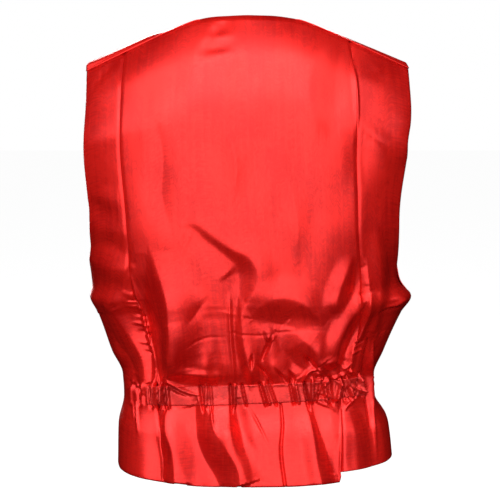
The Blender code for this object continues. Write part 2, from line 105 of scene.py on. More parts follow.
# Creases of the back in millimetres, as seen from behind. Each point of a crease gives its distance from the
# centre line towards the wearer's left, its height above the shoulders, its half width and its rise. A ridge
# stands its rise above the cloth beside it, or lies below it where that is negative, and its number leans its
# crest to the right of a way that runs down. A slope climbs its rise from the left to the right of a way that
# runs down, or upwards across one that runs to the right, and its number is how far it takes to level out.
BACK_CREASES = {
    "left slope": ("slope", 48, (
        (118, -243, 3.6, 0.3), (116, -263, 7.2, 3), (114, -282, 12, 8.5), (112, -306, 16.8, 16),
        (109, -338, 16.8, 18.5), (107, -369, 13.2, 16.5), (103, -399, 7.2, 7.5), (104, -411, 4.8, 2))),
    "left seam ridge": ("ridge", 0.1, (
        (143, -270, 2.4, 0.5), (136, -307, 4.8, 2.6), (127, -347, 6, 3.6), (117, -376, 6, 4),
        (114, -401, 6, 3.5), (113, -417, 3.6, 2))),
    "groove beside it": ("ridge", 0, ((137, -292, 1.7, 0), (134, -308, 2.2, -1.4), (130, -326, 1.7, 0))),
    "soft smudge": ("ridge", 0, ((72, -326, 7.2, -0.2), (61, -312, 10.8, -0.8), (50, -298, 7.2, -0.2))),
    "left pressed crease": ("ridge", 0.4, (
        (73, -356, 2.4, -0.1), (63, -349, 2.9, -0.4), (50, -345, 2.9, -0.3), (27, -344, 2.4, -0.1))),
    "turned fold": ("slope", 29, (
        (76, -209, 1.9, 0.1), (64, -209, 3.1, 0.6), (49, -221, 4.6, 1.3), (33, -233, 4.8, 1.5),
        (19, -243, 5.5, 2.1), (6, -252, 9.1, 3.2), (0, -265, 11.5, 4.2), (1, -281, 10.3, 3.9),
        (6, -298, 6, 2.3), (10, -316, 3.6, 0.7))),
    "fold beside the centre": ("ridge", 0, (
        (22, -293, 3.6, 0.2), (22, -317, 5.4, 1.3), (21, -342, 6, 1.6), (19, -368, 6, 1.6),
        (17, -392, 4.8, 1.2), (15, -407, 3.6, 0.6))),
    "groove right of it": ("slope", 19, (
        (12, -303, 3.6, 0.6), (12, -323, 4.8, 2.2), (11, -346, 5.5, 3.2), (7, -369, 5.5, 3.6),
        (2, -389, 4.8, 3), (-1, -405, 3.1, 1.4))),
    "overhang at the left": ("slope", 12, (
        (93, -391, 4.8, 0.4), (78, -396, 7.2, 3), (60, -400, 7.2, 3.4), (45, -401, 6, 2.6),
        (33, -397, 3.6, 0.5))),
    "slanting pleat": ("ridge", -0.3, (
        (102, -396, 2.4, 1.2), (88, -406, 3.6, 3.2), (73, -414, 3.6, 2.6), (57, -418, 2.4, 0.4))),
    "groove below it": ("ridge", 0, ((104, -404, 2.4, -1.4), (88, -414, 3.6, -2.8), (71, -420, 2.9, -0.6))),
    "small tick": ("ridge", 0, ((40, -407, 2.4, -1.6), (34, -393, 2.4, -0.3))),
    "arched slope": ("slope", 31, (
        (-8, -322, 7.2, 0.4), (-22, -315, 12, 3.2), (-43, -313, 16.8, 5.6), (-63, -319, 15.6, 5.2),
        (-77, -326, 9.6, 2.8), (-87, -334, 6, 0.2))),
    "pressed crease": ("ridge", 0.5, (
        (23, -339, 2.4, -0.15), (4, -341, 2.6, -0.35), (-17, -342, 2.6, -0.3), (-51, -338, 2.9, -0.3),
        (-92, -336, 2.4, -0.1))),
    "slope below it": ("slope", 29, (
        (-37, -339, 7.2, 1.4), (-52, -351, 13.2, 5), (-66, -367, 14.4, 6), (-78, -384, 8.4, 2))),
    "hooked groove": ("ridge", 0, ((-29, -341, 1.9, -0.6), (-24, -355, 4.1, -3), (-17, -372, 3.1, -1.2))),
    "tick beside it": ("ridge", 0, ((-19, -337, 1.9, -0.3), (-23, -350, 2.6, -1.8))),
    "spot": ("ridge", 0, ((-5, -364, 1.9, -0.6), (-4, -374, 3.6, -2.4), (-4, -383, 1.9, -0.6))),
    "groove to the casing": ("ridge", 0.3, (
        (-10, -377, 2.4, -0.6), (-19, -389, 3.8, -3), (-28, -404, 3.1, -2.6))),
    "second groove": ("ridge", 0.3, ((-32, -383, 2.2, -0.4), (-39, -394, 3.8, -3), (-46, -403, 2.9, -1.6))),
    "third groove": ("ridge", 0, ((-49, -386, 2.2, -0.4), (-54, -396, 3.8, -3.2), (-57, -406, 3.1, -2))),
    "slanting groove": ("ridge", 0.2, ((-66, -366, 2.4, -0.4), (-73, -376, 6, -3.8), (-84, -388, 3.6, -1))),
    "overhang at the right": ("slope", 10, (
        (-85, -383, 3.6, 0.6), (-99, -381, 5.4, 3.2), (-114, -378, 3.6, 1))),
    "curl": ("ridge", -0.3, (
        (-67, -409, 2.4, 1), (-67, -397, 3.1, 2.6), (-73, -387, 3.1, 3), (-84, -384, 2.9, 2.4),
        (-96, -389, 2.4, 0.8))),
    "upper right slope": ("slope", 19, (
        (-127, -246, 2.4, 0), (-125, -264, 6, -3.4), (-120, -285, 9, -5.6), (-113, -304, 7.2, -4),
        (-109, -317, 3.6, -0.4))),
    "lower right slope": ("slope", 19, (
        (-137, -314, 3.6, -1), (-129, -329, 8.4, -6), (-119, -350, 9, -7.5), (-112, -372, 6, -5.6),
        (-110, -389, 3.6, -2))),
    "right seam band": ("ridge", 0, (
        (-143, -254, 7.2, 0.6), (-144, -279, 13.2, 2.6), (-146, -307, 10.8, 3.6), (-139, -339, 9.6, 4.4),
        (-128, -367, 8.4, 4), (-125, -390, 6, 2))),
    "line in the band": ("ridge", 0, (
        (-145, -296, 1.9, -0.6), (-141, -308, 2.9, -2), (-138, -320, 2.4, -0.6))),
    "turn of the side": ("slope", 17, (
        (-158, -218, 3.6, -0.4), (-165, -251, 7.2, -3.4), (-169, -282, 9.6, -5), (-165, -308, 6, -3),
        (-160, -344, 4.8, -1.6))),
    "underarm groove": ("ridge", 0.4, (
        (-160, -318, 1.9, -0.6), (-173, -318, 3.1, -2.4), (-186, -315, 2.4, -1))),
    "underarm ridge": ("ridge", 0, (
        (-166, -314, 2.4, 0.3), (-181, -310, 3.6, 1.8), (-193, -305, 3.6, 1.6))),
    "side seam ridge": ("ridge", 0, (
        (-154, -354, 2.2, 0.6), (-152, -383, 2.6, 3.2), (-153, -422, 2.9, 3.4), (-155, -446, 2.6, 2.6),
        (-158, -471, 2.4, 1.6), (-160, -496, 2.2, 0.4))),
    "hollow beside it": ("ridge", 0.5, (
        (-146, -353, 3.6, -1.4), (-143, -382, 7.2, -5.5), (-145, -412, 6, -5.5), (-149, -436, 3.6, -2.4),
        (-151, -459, 2.4, -0.6))),
    "pin tuck": ("ridge", 0, ((139, -433, 1.7, 1), (137, -450, 2.2, 2.2), (135, -469, 1.7, 0.2))),
    "pin tuck beside it": ("ridge", 0, (
        (143, -435, 1.4, 0.8), (142, -445, 1.7, 1.4), (141, -454, 1.4, 0.2))),
    "left skirt slope": ("slope", 26, (
        (99, -432, 2.4, 1.4), (104, -447, 3.6, 3.6), (105, -461, 5.3, 5), (99, -488, 8.4, 7.5),
        (97, -522, 9.6, 7.5))),
    "left skirt line": ("ridge", 0, ((111, -467, 2.2, 0.6), (107, -489, 2.6, 1.8), (105, -515, 2.2, 0.8))),
    "broad skirt slope": ("slope", 31, (
        (60, -429, 4.8, 3), (55, -447, 9.6, 7.5), (50, -467, 12, 9.5), (39, -487, 14.4, 10),
        (26, -508, 14.4, 9.4), (20, -526, 12, 8))),
    "slim skirt fold": ("ridge", 0.3, ((46, -429, 1.9, 1), (44, -445, 2.4, 2.2), (42, -460, 1.9, 0.2))),
    "centre skirt slope": ("slope", 17, (
        (21, -423, 2.4, -1.6), (18, -440, 4.8, -4.8), (15, -459, 6.5, -6), (11, -477, 6, -4.6),
        (1, -499, 4.8, -2.2), (-2, -515, 3.6, -0.8))),
    "slanting line": ("ridge", 0.3, (
        (-1, -433, 1.9, -0.6), (-11, -449, 2.6, -1.6), (-25, -475, 2.2, -0.3))),
    "middle skirt groove": ("ridge", 0, (
        (-40, -429, 2.2, -1.6), (-42, -453, 2.9, -2.4), (-40, -478, 2.9, -2.2), (-45, -525, 2.6, -2.2))),
    "pleat edge": ("slope", 19, (
        (-72, -425, 2.9, -1.6), (-78, -443, 4.1, -4), (-85, -468, 6, -5.6), (-92, -497, 8.4, -6.4),
        (-100, -526, 9.6, -6.4))),
    "flap at the right seam": ("slope", 12, (
        (-114, -438, 1.9, 0.8), (-113, -471, 2.4, 2.2), (-113, -510, 2.4, 2.2))),
    "right skirt slope": ("slope", 17, (
        (-128, -434, 4.8, -0.6), (-137, -457, 9.6, -3), (-142, -485, 10.8, -3.6), (-144, -509, 9.6, -3))),
    "left tick of the vee": ("ridge", 0, (
        (-81, -425, 2.2, 1.4), (-94, -431, 2.9, 2.4), (-109, -440, 1.9, 0.4))),
    "right tick of the vee": ("ridge", 0, (
        (-133, -426, 2.4, 1.6), (-124, -432, 3.1, 2.6), (-117, -440, 1.9, 0.4))),
    "nape crumple": ("ridge", 0, ((52, 11, 6, 0.2), (36, 23, 8.4, -2.2), (19, 31, 6, -0.4))),
    "nape crumple below": ("ridge", 0, ((64, -5, 7.2, 0.2), (42, 3, 10.8, -2.4), (14, 7, 8.4, -0.3))),
    "left yoke fold": ("ridge", 0.2, ((190, -46, 4.8, -0.3), (175, -29, 6, -1.3), (160, -13, 4.8, -0.3))),
    "fold down the right seam": ("ridge", 0.3, (
        (-124, -7, 2.4, 0.4), (-127, -37, 4.8, 2.2), (-128, -74, 4.8, 2), (-128, -93, 3.6, 0.4))),
    "facet over the blade": ("slope", 24, (
        (-130, -81, 2.4, -0.4), (-144, -91, 6, -1.8), (-161, -103, 9.6, -3), (-179, -115, 10.8, -2.6),
        (-192, -124, 10.8, -1))),
    "hollow below it": ("slope", 26, (
        (-139, -107, 8.4, 0.6), (-148, -129, 13.2, 1.8), (-152, -160, 12, 0.8))),
    "left armhole slope": ("slope", 22, (
        (193, -173, 3.6, -0.2), (175, -184, 7.2, 2.4), (155, -186, 6, 0.6))),
    "left dark band": ("slope", 22, (
        (197, -246, 7.2, -1.2), (169, -248, 13.2, -3.2), (144, -256, 8.4, -1.2))),
    "left waist slope": ("slope", 19, (
        (174, -319, 7.2, 1.6), (160, -349, 9.6, 4), (143, -379, 8.4, 5), (132, -410, 4.8, 3))),
    "left crumple": ("ridge", 0.3, ((152, -406, 2.4, 0.2), (141, -416, 4.8, -2.2), (128, -425, 3.6, -0.8))),
    "soft band at mid left": ("ridge", 0, (
        (113, -72, 16.8, 0.2), (101, -119, 24, -1.2), (102, -173, 24, -1), (90, -221, 16.8, -0.2))),
    "soft band at mid": ("ridge", 0, ((30, -83, 14.4, 0.2), (14, -130, 24, 1.6), (19, -183, 14.4, 0.2))),
    "soft band at mid right": ("ridge", 0, (
        (-49, -154, 12, 0.2), (-59, -207, 24, 0.7), (-55, -262, 14.4, 0.2))),
    "soft slope at the upper right": ("slope", 29, (
        (-109, 12, 7.2, -0.4), (-95, -15, 13.2, -2), (-87, -51, 15.6, -2.2), (-92, -98, 10.8, -0.4))),
    "bubble one": ("ridge", 0, (
        (-86, -414, 2.4, 0.6), (-95, -403, 3.6, 2.8), (-108, -397, 3.6, 2.8), (-123, -394, 2.9, 1.2))),
    "bubble two": ("ridge", 0, ((-96, -391, 2.4, 0.6), (-102, -403, 3.6, -2.8), (-99, -418, 2.9, -1.6))),
    "bubble three": ("ridge", 0, ((-105, -399, 2.4, 0.8), (-114, -411, 3.4, 3), (-110, -425, 2.9, 1.4))),
    "bubble four": ("ridge", 0, ((-116, -388, 2.4, 0.6), (-129, -393, 3.6, 2.6), (-138, -406, 2.9, 1.2))),
    "bubble five": ("ridge", 0, ((-126, -407, 2.4, -0.6), (-122, -416, 3.8, -3.4), (-128, -428, 2.4, -1))),
    "bubble six": ("ridge", 0, ((-129, -411, 2.4, 0.8), (-139, -418, 3.4, 2.8), (-148, -423, 2.4, 1))),
    "bubble seven": ("ridge", 0, ((-76, -422, 2.4, 0.4), (-88, -420, 3.1, -2.6), (-100, -426, 2.4, -0.8))),
    "bubble eight": ("ridge", 0, ((-74, -392, 2.4, -0.6), (-85, -397, 3.6, -3), (-97, -395, 2.4, -0.6))),
    "bubble nine": ("ridge", 0, ((-110, -381, 2.4, 0.3), (-119, -387, 3.1, 2.4), (-126, -380, 2.4, 0.6))),
}

# Short puckers beside the shaping seams: the height where each meets its seam, its length and its rise
LEFT_PUCKERS = ((-296, 16, 1.0), (-306, 13, -1.4), (-317, 18, 1.2), (-327, 15, -1.6), (-338, 19, 1.5),
                (-349, 16, -1.8), (-361, 18, 1.4), (-373, 14, -1.2))
RIGHT_PUCKERS = ((-262, 9, -0.9), (-281, 12, 1.1), (-293, 14, -1.3), (-303, 11, 0.9), (-357, 12, -1.3),
                 (-368, 13, 1.2))

# Where the drawn-in waist pinches the casing: distance from the centre line, half width, rise and slant, and
# how far the pinch runs on above and below the casing
PINCHES = ((145, 2.9, 1.6, 0, 5, 6), (137, 2.6, -2.2, 0.1, 4, 5), (130, 3.1, 1.9, 0, 6, 4),
           (122, 2.4, -2.9, 0.1, 3, 6), (116, 2.3, 3.8, 0, 12, 6), (112, 2, -4.2, 0.05, 5, 9),
           (107, 2.3, 3.8, 0, 4, 5), (103, 2.3, -4.5, 0.1, 9, 10), (97, 2.6, 3.5, 0.1, 3, 7),
           (57, 2.8, -4.8, 0.15, 2, 12), (51, 3.1, 2.6, 0, 6, 4), (45, 2.2, -2.6, 0.1, 3, 14),
           (21, 2.6, -5.1, 0.05, 4, 16), (16, 2.6, 2.2, 0, 2, 6), (5, 2.6, -4.5, 0.2, 3, 5),
           (-18, 2.9, -5.1, 0.3, 5, 6), (-23, 2.4, 3.5, 0.3, 3, 3), (-30, 2.6, -4.5, 0.35, 6, 7),
           (-54, 2.9, -5.1, 0.2, 9, 6), (-60, 2.6, 2.9, 0.2, 4, 4), (-71, 3.1, -5.4, 0.2, 3, 18),
           (-78, 3.1, 3.5, 0, 8, 4), (-86, 3.1, -3.5, -0.3, 6, 5), (-94, 3.1, 3.8, 0.2, 10, 8),
           (-102, 2.9, -4.5, 0.1, 7, 9), (-110, 3.1, 3.8, -0.2, 9, 5), (-118, 2.9, -4.5, 0.2, 12, 10),
           (-126, 2.6, 3.5, 0.3, 6, 7), (-133, 2.9, -4.2, -0.2, 8, 6), (-141, 2.9, 3.5, 0.2, 5, 9))

SHOULDER_RISE = 0.0034   # how far the left front stands up over its shoulder, seen from behind
FRONT_SHARE = 0.7        # how deep the fronts' creases are beside the back's

# Creases of the fronts in millimetres, seen from the front, for the wearer's left; the right's are these
# turned over, and moved and scaled a little so that the two sides aren't alike.
FRONT_CREASES = {
    "waist break": ("ridge", 0, ((0, -404, 4, -0.6), (50, -400, 8, -2.6), (120, -412, 5, -0.8))),
    "pull from the top button": ("ridge", 0, ((6, -266, 3, 1), (50, -283, 6, 1.8), (110, -290, 8, 0.2))),
    "pull from the middle button": ("ridge", 0, ((8, -377, 3, 1), (40, -368, 6, 1.8), (95, -345, 8, 0.2))),
    "hollow below the bust": ("ridge", 0.2, ((60, -300, 6, -0.4), (78, -340, 12, -3), (84, -395, 7, -1.6))),
    "side hollow": ("ridge", 0, ((138, -318, 5, -0.4), (128, -360, 9, -2.8), (120, -402, 5, -1.5))),
    "skirt slope": ("slope", 24, ((84, -424, 4, -1), (90, -470, 9, -4), (95, -527, 10, -4.5))),
    "skirt hollow": ("ridge", 0, ((52, -430, 4, -0.6), (50, -470, 9, -2.4), (47, -527, 11, -2.4))),
    "second skirt fold": ("ridge", 0, ((126, -430, 4, 0.6), (131, -470, 8, 2.2), (136, -522, 9, 2))),
    "slope to the armhole": ("slope", 24, ((118, -262, 5, 0.3), (138, -220, 10, 3.4), (158, -185, 7, 0.6))),
    "neckline ease": ("ridge", 0, ((30, -170, 4, -0.3), (48, -120, 8, -1.4), (64, -70, 5, -0.4))),
}

# The cloth's fullness that hangs over the casing
BLOUSE = 0.0039
BLOUSE_LEVELS = (-0.408, -0.400, -0.389, -0.376, -0.364, -0.350, -0.336, -0.325, -0.316, -0.308, -0.300,
                 -0.288, -0.265)
BLOUSE_SHARES = (0.00, 0.30, 0.78, 0.96, 0.95, 0.84, 0.69, 0.53, 0.31, 0.08, 0.00, 0.00, 0.00)
PUFFS = ((0.24, 0.047, 0.8), (0.16, 0.029, 2.4), (0.08, 0.019, 4.1))   # share, length, turn of each wave

CASING_LEVEL = -0.417    # at the centre line
CASING_TILT = 0.036      # its fall for each metre towards the wearer's left
CASING_HALF = 0.0118     # half its width
CASING_LEFT = 0.124
CASING_RIGHT = -0.146
CASING_CLEAR = 0.0009    # how far it stands off the back, and its crown above that
CASING_CROWN = 0.0008
STITCH_PITCH = 0.0030
STITCH_LENGTH = 0.0022
BUTTON_LEVELS = (-0.492, -0.435, -0.378, -0.321, -0.264)
BUTTON_RADIUS = 0.0085


def length_setting(name, description, default, low, high):
    """A length in metres for the panel, with its limits."""
    return bpy.props.FloatProperty(name=name, description=description, default=default, min=low, max=high,
                                   unit="LENGTH")


def colour_setting(name, description, default):
    """A colour for the panel."""
    return bpy.props.FloatVectorProperty(name=name, description=description, default=default, size=3,
                                         min=0, max=1, subtype="COLOR")


class VestSizes(bpy.types.PropertyGroup):
    wall: length_setting("Cloth and lining", "Thickness of a panel with its lining", 0.0012, 0.0004, 0.003)
    strip_wall: length_setting("Casing", "Thickness of the casing strip", 0.0008, 0.0003, 0.002)
    seam_dip: length_setting("Seam dip", "How far the cloth sinks into a seam", 0.0011, 0.0, 0.003)
    seam_reach: length_setting("Seam reach", "How far from a seam the cloth begins to sink",
                               0.0024, 0.001, 0.01)
    crease_scale: bpy.props.FloatProperty(
        name="Crease depth", description="Multiplies the depth of every crease",
        default=1.75, min=0.0, max=2.0, subtype="FACTOR")
    ease: length_setting("Ease", "Depth of the cloth's slow, uneven waves", 0.0007, 0.0, 0.003)


class VestColours(bpy.types.PropertyGroup):
    satin: colour_setting("Satin", "The lit colour of the cloth", (0.78, 0.012, 0.008))
    satin_deep: colour_setting("Satin, deep", "The colour between its threads", (0.55, 0.005, 0.004))
    # The casing's two reds are the satin's reds made darker: painted shade that stands in for the weaker
    # sheen of the casing's turned weave
    strip: colour_setting("Casing", "The casing's duller red", (0.68, 0.016, 0.012))
    strip_deep: colour_setting("Casing, deep", "The colour between the casing's threads",
                               (0.42, 0.009, 0.007))
    thread: colour_setting("Thread", "The sewing thread", (0.55, 0.015, 0.015))
    button: colour_setting("Button", "The buttons' dark red", (0.20, 0.008, 0.010))
    floor: colour_setting("Floor", "The studio floor", (0.93, 0.93, 0.93))


# Curves and sections of the worn form

def through(knots, values, slopes, at):
    """The cubic curve that passes each knot at its value with its slope."""
    step = np.diff(knots)
    i = np.clip(np.searchsorted(knots, at, side="right") - 1, 0, len(step) - 1)
    t = (at - knots[i]) / step[i]
    return ((1 + 2 * t) * (1 - t) ** 2 * values[i] + t * (1 - t) ** 2 * step[i] * slopes[i]
            + t * t * (3 - 2 * t) * values[i + 1] + t * t * (t - 1) * step[i] * slopes[i + 1])


def monotone(knots, values, at):
    """A smooth curve through the values that never swings past them."""
    knots = np.asarray(knots, float)
    values = np.asarray(values, float)
    at = np.clip(np.asarray(at, float), knots[0], knots[-1])
    step = np.diff(knots)
    slope = np.diff(values) / step
    tangent = np.zeros(len(knots))
    tangent[0], tangent[-1] = slope[0], slope[-1]
    for i in range(1, len(knots) - 1):
        if slope[i - 1] * slope[i] > 0:
            tangent[i] = 2.0 / (1.0 / slope[i - 1] + 1.0 / slope[i])
    return through(knots, values, tangent, at)


def smooth_step(low, high, value):
    t = np.clip((value - low) / (high - low), 0.0, 1.0)
    return t * t * (3.0 - 2.0 * t)


def unit(vectors):
    return vectors / np.maximum(np.linalg.norm(vectors, axis=-1, keepdims=True), 1e-12)


def column(name):
    return [row[BACK_COLUMNS.index(name)] for row in BACK_STATIONS.values()]


def back_size(name, level):
    return monotone(column("level"), column(name), level)


def shoulder_fall(across):
    past = np.abs(across) - NECK_HALF
    bend = 0.5 * (past + np.sqrt(past ** 2 + NECK_ROUND ** 2))
    at_tip = column("left")[-1] - NECK_HALF
    fall = np.where(np.asarray(across) >= 0, LEFT_FALL, RIGHT_FALL)
    return fall * bend / (0.5 * (at_tip + np.sqrt(at_tip ** 2 + NECK_ROUND ** 2)))


def section(across, half, depth, square):
    inside = np.clip(1.0 - np.abs(across / half) ** square, 0.0, 1.0)
    return depth * inside ** (1.0 / square)


def half_width(reach, cut, square):
    return reach / (1.0 - cut ** square) ** (1.0 / square)


def back_point(across, level):
    """The back's smooth surface, without its creases."""
    square = back_size("square", level)
    reach = np.where(np.asarray(across) >= 0, back_size("left", level), back_size("right", level))
    half = half_width(reach, back_size("cut", level), square)
    depth = section(across, half, back_size("depth", level), square)
    height = level - back_size("share", level) * shoulder_fall(across)
    return np.stack(np.broadcast_arrays(across, depth, height), axis=-1)


def front_row(place):
    """The sizes of one row of the fronts, from 0 at the underarm to 1 at the shoulder seam."""
    nape = {name: column(name)[-1] for name in BACK_COLUMNS}
    start = {name: column(name)[UNDERARM] for name in BACK_COLUMNS}
    seam_row = (nape["level"], nape["share"], nape["left"], -nape["depth"], nape["cut"], nape["square"],
                NECK_HALF)
    first_row = (start["level"], 0.0, start["left"], FRONT_DEPTHS["underarm"], 0.0, start["square"], -LAP)
    rows = np.array([first_row, *FRONT_STATIONS.values(), seam_row])
    travel = np.hypot(np.diff(rows[:, 0]), np.diff(rows[:, 3]))
    knots = np.concatenate([[0.0], np.cumsum(travel)])
    return {name: monotone(knots / knots[-1], rows[:, i], place) for i, name in enumerate(FRONT_COLUMNS)}


def reach_share(name, station):
    return column(name)[station] / column("left")[station]


def even_points(points, count):
    travel = np.concatenate([[0.0], np.cumsum(np.linalg.norm(np.diff(points, axis=0), axis=1))])
    at = np.linspace(0.0, travel[-1], count + 1)
    return np.stack([np.interp(at, travel, points[:, k]) for k in range(3)], axis=-1)


def edge_crowded(start, end, count):
    return start + (end - start) * np.sin(np.linspace(0.0, np.pi / 2, count))


def grid_normals(points, flip):
    up = np.gradient(points, axis=0)
    along = np.gradient(points, axis=1)
    return unit(np.cross(along, up)) * flip


# Creases

def ridge_shape(aside, lean):
    """A crest of height 1 that falls to nothing at -1 and 1; lean moves it to one side."""
    rising = np.clip((aside + 1.0) / (lean + 1.0), 0.0, 1.0)
    falling = np.clip((1.0 - aside) / (1.0 - lean), 0.0, 1.0)
    t = np.minimum(rising, falling)
    return t ** 1.6


def slope_shape(aside, reach):
    """A climb from -1/2 to 1/2 across the crease, which levels out on both sides within the reach."""
    climb = 0.7 * np.clip(aside, -1.0, 1.0) / 2 + 0.3 * (smooth_step(-1.0, 1.0, aside) - 0.5)
    return climb * (1.0 - smooth_step(1.0, 1.0 + reach, np.abs(aside)))


def crease_lift(across, height, crease, samples=36):
    """How far one crease lifts the cloth at each place."""
    kind, number, points = crease
    path = np.array(points, float) * MM
    lift = np.zeros_like(across)
    margin = path[:, 2].max() + (number * MM if kind == "slope" else 0.0)
    near = ((across > path[:, 0].min() - margin) & (across < path[:, 0].max() + margin)
            & (height > path[:, 1].min() - margin) & (height < path[:, 1].max() + margin))
    if not near.any():
        return lift
    spots = np.stack([across[near], height[near]], axis=-1)
    knots = np.concatenate([[0.0], np.cumsum(np.linalg.norm(np.diff(path[:, :2], axis=0), axis=1))])
    at = np.linspace(0.0, knots[-1], samples)
    line = np.stack([natural_curve(knots, path[:, k], at) for k in range(2)], axis=-1)
    best = np.full(len(spots), np.inf)
    aside = np.zeros(len(spots))
    along = np.zeros(len(spots))
    for i in range(samples - 1):
        run = line[i + 1] - line[i]
        length = max(np.linalg.norm(run), 1e-9)
        t = ((spots - line[i]) @ run) / length ** 2
        away = spots - (line[i] + np.clip(t, 0.0, 1.0)[:, None] * run)
        distance = np.linalg.norm(away, axis=-1)
        side = np.sign(run[1] * away[:, 0] - run[0] * away[:, 1])
        closer = distance < best
        best = np.where(closer, distance, best)
        aside = np.where(closer, distance * side, aside)
        along = np.where(closer, at[i] + (at[i + 1] - at[i]) * np.clip(t, 0.0, 1.0), along)
    half, rise = monotone(knots, path[:, 2], along), monotone(knots, path[:, 3], along)
    if kind == "slope":
        ends = past_ends(best, along, knots)
        lift[near] = rise * slope_shape(aside / half, number * MM / half) * ends
    else:
        lift[near] = rise * ridge_shape(aside / half, number)
    return lift


def past_ends(distance, along, knots, reach=0.012):
    """Fades a slope beyond the two ends of its path."""
    ended = (along <= knots[0] + 1e-9) | (along >= knots[-1] - 1e-9)
    return np.where(ended, 1.0 - smooth_step(0.0, reach, distance), 1.0)


def natural_curve(knots, values, at):
    """A rounded curve through a path's points."""
    if len(knots) == 2:
        return np.interp(at, knots, values)
    return through(knots, values, np.gradient(values, knots), at)


def slow_waves(across, height, seed):
    """Uneven slow waves between -1 and 1, longer along the height than across."""
    total = np.zeros_like(across)
    rng = np.random.default_rng(seed)
    for _ in range(9):
        turn = rng.uniform(0, 2 * np.pi)
        wide, tall = rng.uniform(60, 190), rng.uniform(12, 60)
        total += np.sin(across * wide + height * tall * rng.choice([-1, 1]) + turn) * (90 / wide)
    return total / 6.0


def pucker_rows():
    """The short puckers beside the two shaping seams, as creases."""
    rows = []
    for puckers, name, side in ((LEFT_PUCKERS, "seam_left", 1), (RIGHT_PUCKERS, "seam_right", -1)):
        for height, length, rise in puckers:
            seam = side * float(back_size(name, height * MM)) / MM
            points = ((seam, height, 2.4, rise), (seam + side * length * 0.55, height + 2, 2.8, rise * 0.8),
                      (seam + side * length, height + 5, 2.0, 0.0))
            rows.append(("ridge", 0.0, points))
    return rows


def back_lift(across, height, scale):
    """All that lifts or lowers the back's cloth, seen from behind."""
    puffs = sum(share * np.sin(across * 2 * np.pi / length + turn) for share, length, turn in PUFFS)
    swell = 1.0 + puffs * smooth_step(-0.335, -0.388, height)
    lift = (BLOUSE * swell * monotone(BLOUSE_LEVELS, BLOUSE_SHARES, height)
            * smooth_step(0.135, 0.085, np.abs(across)))
    for crease in list(BACK_CREASES.values()) + pucker_rows():
        lift = lift + crease_lift(across, height, crease)
    top, foot = CASING_LEVEL + CASING_HALF, CASING_LEVEL - CASING_HALF
    tilt = CASING_TILT * across
    for place, half, rise, slant, above, below in PINCHES:
        middle = place * MM + slant * (height - CASING_LEVEL)
        band = (smooth_step(foot - below * MM, foot, height + tilt)
                * smooth_step(top + above * MM, top, height + tilt))
        lift = lift + rise * MM * ridge_shape((across - middle) / (half * MM), 0.0) * band
    return lift * scale


def front_lift(across, height, side, scale):
    """The fronts' creases; the wearer's right has them a little moved and shallower."""
    lift = np.zeros_like(across)
    for number, (kind, size, points) in enumerate(FRONT_CREASES.values()):
        if side < 0:
            shift = ((number * 7) % 11) - 5.0
            share = 0.75 + 0.1 * (number % 4)
            points = tuple((x + shift, z - 0.6 * shift, half, rise * share) for x, z, half, rise in points)
        lift = lift + crease_lift(across * side, height, (kind, size, points))
    return lift * scale * FRONT_SHARE


# Cloth grids: each is an array of rows from hem to top, with its cloth coordinates beside it

def back_levels():
    level = {name: row[0] for name, row in BACK_STATIONS.items()}
    spans = (("hem", "casing", 56), ("casing", "waist", 18), ("waist", "underarm", 70),
             ("underarm", "mid", 36), ("mid", "nape", 34))
    rows = [np.linspace(level[a], level[b], n + 1)[:-1] for a, b, n in spans]
    return np.concatenate(rows + [[level["nape"]]])


def back_grid(sizes, side_columns=60, centre_columns=224):
    """The back's outer points from the wearer's left edge to the right one, and the seams' columns."""
    rows = []
    for level in back_levels():
        seam_left, seam_right = back_size("seam_left", level), -back_size("seam_right", level)
        left, right = back_size("left", level), -back_size("right", level)
        side = even_points(back_point(edge_crowded(seam_left, left, 160), level), side_columns)[::-1]
        centre = back_point(np.linspace(seam_left, seam_right, centre_columns + 1), level)
        far_side = even_points(back_point(edge_crowded(seam_right, right, 160), level), side_columns)
        rows.append(np.concatenate([side, centre[1:-1], far_side]))
    smooth = np.array(rows)
    across, height = smooth[..., 0], smooth[..., 2]
    lift = back_lift(across, height, sizes.crease_scale)
    lift = lift + sizes.ease * slow_waves(across, height, 5)
    below_arm = height < column("level")[UNDERARM] + 0.01
    lift = np.where(below_arm, lift * smooth_step(0.0, EDGE_FADE, np.abs(smooth[..., 1])), lift)
    level = np.broadcast_to(back_levels()[:, None], across.shape)
    for seam in (back_size("seam_left", level), -back_size("seam_right", level)):
        lift = lift - sizes.seam_dip * np.exp(-((across - seam) / sizes.seam_reach) ** 2)
    points = smooth + grid_normals(smooth, 1.0) * lift[..., None]
    return points, side_columns, side_columns + centre_columns


